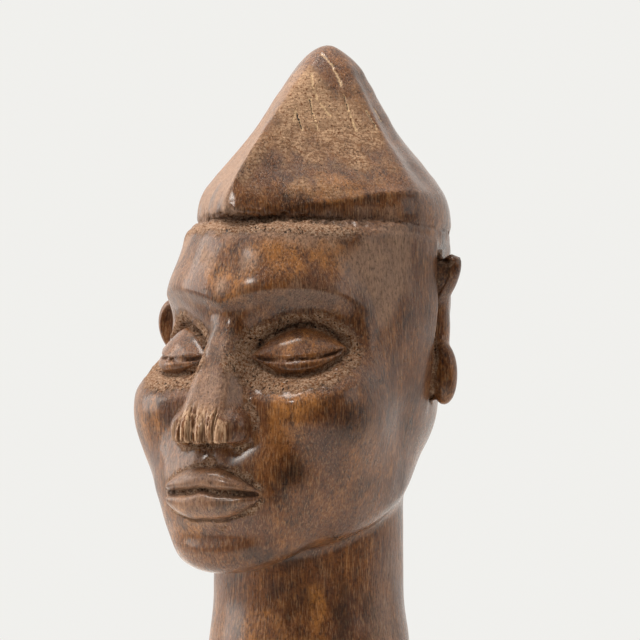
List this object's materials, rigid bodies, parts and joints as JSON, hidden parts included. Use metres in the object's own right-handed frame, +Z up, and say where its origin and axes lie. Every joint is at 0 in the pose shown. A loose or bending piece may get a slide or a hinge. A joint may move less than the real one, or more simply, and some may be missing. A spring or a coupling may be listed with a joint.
{
  "type": "carved wooden head",
  "caption": "Carved hardwood female head with a peaked cap, on a thick neck cut flat below to stand as a small bust.",
  "frame": {"origin": "centre of the flat saw cut under the neck, on which the head stands", "axes": "+Z up the neck to the tip of the cap, -Y the way the face looks, +X the figure's left"},
  "size_m": [0.0886, 0.0995, 0.194],
  "materials": {
    "dark_wood": "hand-polished dark hardwood with worn patches, fine grain and dust in the recesses"
  },
  "bodies": {
    "root": {"carved_head": "dark_wood"}
  },
  "joints": []
}
